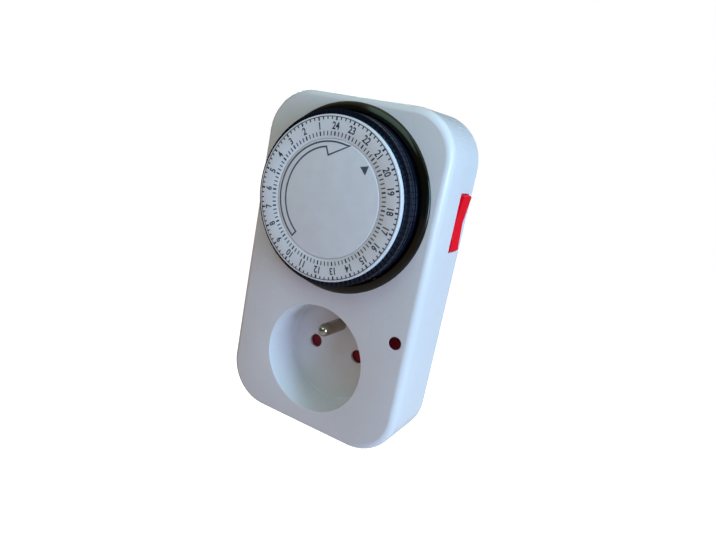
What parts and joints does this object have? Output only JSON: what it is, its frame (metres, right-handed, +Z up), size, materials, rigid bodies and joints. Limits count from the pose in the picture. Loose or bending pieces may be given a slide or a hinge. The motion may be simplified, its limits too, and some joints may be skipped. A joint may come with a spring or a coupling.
{
  "type": "plug-in timer switch",
  "caption": "Mechanical 24 hour plug-in timer: round dial with sliding tappets over an earthed socket well, side rocker, indicator lens and a round plug behind.",
  "frame": {"origin": "middle between the two plug pins, on the end face of the plug body", "axes": "+Y along the plug pins into the wall, +Z up, +X to the right seen from the front; the face looks towards -Y"},
  "size_m": [0.0733, 0.0747, 0.12],
  "materials": {
    "white_abs": "fine satin moulding",
    "black_abs": "gloss moulding",
    "plate_print": "satin printed plate",
    "red_abs": "gloss moulding",
    "red_lens": "dark red lens",
    "nickel": "bright nickel plate",
    "steel": "zinc plated sheet",
    "brass": "bright brass",
    "acetal": "natural moulding",
    "magnet": "ferrite",
    "copper_wire": "enamelled winding",
    "neon_glass": "clear glass",
    "resistor_body": "lacquer"
  },
  "bodies": {
    "case": {"front_shell": "white_abs", "rear_shell": "white_abs", "case_screws": "steel", "movement_screws": "steel", "dial_bezel": "black_abs", "centre_disc": "plate_print", "movement_plate": "steel", "back_plate": "steel", "plate_pillars": "brass", "wheel_axles": "steel", "motor_cup": "steel", "motor_bobbin": "acetal", "motor_coil": "copper_wire", "motor_pole_plate": "steel", "lever_pin": "steel", "lever_spring": "steel", "fixed_contact": "brass", "rocker_pin": "steel", "lamp_lens": "red_lens", "neon_lamp": "neon_glass", "lamp_resistor": "resistor_body", "earth_pin": "nickel", "earth_strap": "brass", "earth_clips": "nickel", "earth_sleeve": "brass", "plug_pins": "nickel", "socket_contacts": "brass", "contact_carrier": "white_abs", "shutter_spring": "steel", "neutral_bar": "brass", "live_in_bar": "brass", "live_out_bar": "brass"},
    "dial": {"number_plate": "plate_print", "dial_drum": "black_abs"},
    "tappets_01": {"tappets_01": "black_abs"},
    "tappets_02": {"tappets_02": "black_abs"},
    "tappets_03": {"tappets_03": "black_abs"},
    "tappets_04": {"tappets_04": "black_abs"},
    "tappets_05": {"tappets_05": "black_abs"},
    "tappets_06": {"tappets_06": "black_abs"},
    "tappets_07": {"tappets_07": "black_abs"},
    "tappets_08": {"tappets_08": "black_abs"},
    "tappets_09": {"tappets_09": "black_abs"},
    "tappets_10": {"tappets_10": "black_abs"},
    "tappets_11": {"tappets_11": "black_abs"},
    "tappets_12": {"tappets_12": "black_abs"},
    "dial_arbor": {"dial_pinion": "acetal", "clutch_spring": "brass"},
    "clutch": {"clutch_wheel": "acetal"},
    "wheel_5": {"train_wheel_5": "acetal"},
    "wheel_4": {"train_wheel_4": "acetal"},
    "wheel_3": {"train_wheel_3": "acetal"},
    "wheel_2": {"train_wheel_2": "acetal"},
    "wheel_1": {"train_wheel_1": "acetal"},
    "motor_rotor": {"rotor": "magnet"},
    "lever": {"follower_lever": "acetal"},
    "blade": {"moving_contact": "brass"},
    "slider": {"override_slider": "acetal"},
    "rocker": {"rocker": "red_abs"},
    "shutter": {"socket_shutter": "red_abs"}
  },
  "joints": [
    {"name": "dial_turn", "type": "hinge", "parent": "case", "child": "dial", "pos_m": [0, -0.0456, 0.05855], "axis": [0, 1, 0], "continuous": true},
    {"name": "tappets_01_press", "type": "slide", "parent": "dial", "child": "tappets_01", "axis": [0, 1, 0], "range_m": [0, 0.0022]},
    {"name": "tappets_02_press", "type": "slide", "parent": "dial", "child": "tappets_02", "axis": [0, 1, 0], "range_m": [0, 0.0022]},
    {"name": "tappets_03_press", "type": "slide", "parent": "dial", "child": "tappets_03", "axis": [0, 1, 0], "range_m": [0, 0.0022]},
    {"name": "tappets_04_press", "type": "slide", "parent": "dial", "child": "tappets_04", "axis": [0, 1, 0], "range_m": [0, 0.0022]},
    {"name": "tappets_05_press", "type": "slide", "parent": "dial", "child": "tappets_05", "axis": [0, 1, 0], "range_m": [0, 0.0022]},
    {"name": "tappets_06_press", "type": "slide", "parent": "dial", "child": "tappets_06", "axis": [0, 1, 0], "range_m": [0, 0.0022]},
    {"name": "tappets_07_press", "type": "slide", "parent": "dial", "child": "tappets_07", "axis": [0, 1, 0], "range_m": [0, 0.0022]},
    {"name": "tappets_08_press", "type": "slide", "parent": "dial", "child": "tappets_08", "axis": [0, 1, 0], "range_m": [0, 0.0022]},
    {"name": "tappets_09_press", "type": "slide", "parent": "dial", "child": "tappets_09", "axis": [0, 1, 0], "range_m": [0, 0.0022]},
    {"name": "tappets_10_press", "type": "slide", "parent": "dial", "child": "tappets_10", "axis": [0, 1, 0], "range_m": [0, 0.0022]},
    {"name": "tappets_11_press", "type": "slide", "parent": "dial", "child": "tappets_11", "axis": [0, 1, 0], "range_m": [0, 0.0022]},
    {"name": "tappets_12_press", "type": "slide", "parent": "dial", "child": "tappets_12", "axis": [0, 1, 0], "range_m": [0, 0.0022]},
    {"name": "dial_pinion_turn", "type": "hinge", "parent": "case", "child": "dial_arbor", "pos_m": [0, -0.0456, 0.03755], "axis": [0, 1, 0], "continuous": true},
    {"name": "rotor_turn", "type": "hinge", "parent": "case", "child": "motor_rotor", "pos_m": [-0.00616, -0.0456, 0.05682], "axis": [0, 1, 0], "continuous": true},
    {"name": "wheel_1_turn", "type": "hinge", "parent": "case", "child": "wheel_1", "pos_m": [-0.00444, -0.0456, 0.04707], "axis": [0, 1, 0], "continuous": true},
    {"name": "wheel_2_turn", "type": "hinge", "parent": "case", "child": "wheel_2", "pos_m": [0.00543, -0.0456, 0.05066], "axis": [0, 1, 0], "continuous": true},
    {"name": "wheel_3_turn", "type": "hinge", "parent": "case", "child": "wheel_3", "pos_m": [-0.00444, -0.0456, 0.04707], "axis": [0, 1, 0], "continuous": true},
    {"name": "wheel_4_turn", "type": "hinge", "parent": "case", "child": "wheel_4", "pos_m": [0.00543, -0.0456, 0.05066], "axis": [0, 1, 0], "continuous": true},
    {"name": "wheel_5_turn", "type": "hinge", "parent": "case", "child": "wheel_5", "pos_m": [-0.00444, -0.0456, 0.04707], "axis": [0, 1, 0], "continuous": true},
    {"name": "clutch_turn", "type": "hinge", "parent": "case", "child": "clutch", "pos_m": [0, -0.0456, 0.03755], "axis": [0, 1, 0], "continuous": true},
    {"name": "follower_swing", "type": "hinge", "parent": "case", "child": "lever", "pos_m": [0.0196, -0.0366, 0.0298], "axis": [-1, 0, 0], "range_deg": [-10, 0], "stiffness_Nm_per_rad": 0.0004, "springref_deg": -11.46},
    {"name": "contact_blade_flex", "type": "hinge", "parent": "case", "child": "blade", "pos_m": [0.0196, -0.022, 0.0268], "axis": [-1, 0, 0], "range_deg": [-0.1, 7]},
    {"name": "rocker_turn", "type": "hinge", "parent": "case", "child": "rocker", "pos_m": [0.032, -0.0272, 0.0582], "axis": [0, -1, 0], "range_deg": [0, 6]},
    {"name": "override_slide", "type": "slide", "parent": "case", "child": "slider", "axis": [0, 0, -1], "range_m": [0, 0.00085]},
    {"name": "shutter_turn", "type": "hinge", "parent": "case", "child": "shutter", "pos_m": [0, -0.0256, 0], "axis": [0, 1, 0], "range_deg": [0, 40], "stiffness_Nm_per_rad": 0.0003, "springref_deg": -11.46}
  ],
  "couplings": [
    {"joint": "dial_pinion_turn", "follows": "dial_turn", "ratio": 8},
    {"joint": "wheel_1_turn", "follows": "rotor_turn", "ratio": -0.1},
    {"joint": "wheel_2_turn", "follows": "rotor_turn", "ratio": 0.016667},
    {"joint": "wheel_3_turn", "follows": "rotor_turn", "ratio": -0.0027778},
    {"joint": "wheel_4_turn", "follows": "rotor_turn", "ratio": 0.00055556},
    {"joint": "wheel_5_turn", "follows": "rotor_turn", "ratio": -0.00011111},
    {"joint": "clutch_turn", "follows": "rotor_turn", "ratio": 0.000022222},
    {"joint": "contact_blade_flex", "follows": "follower_swing", "ratio": -0.66},
    {"joint": "override_slide", "follows": "rocker_turn", "m_per_rad": 0.008}
  ]
}
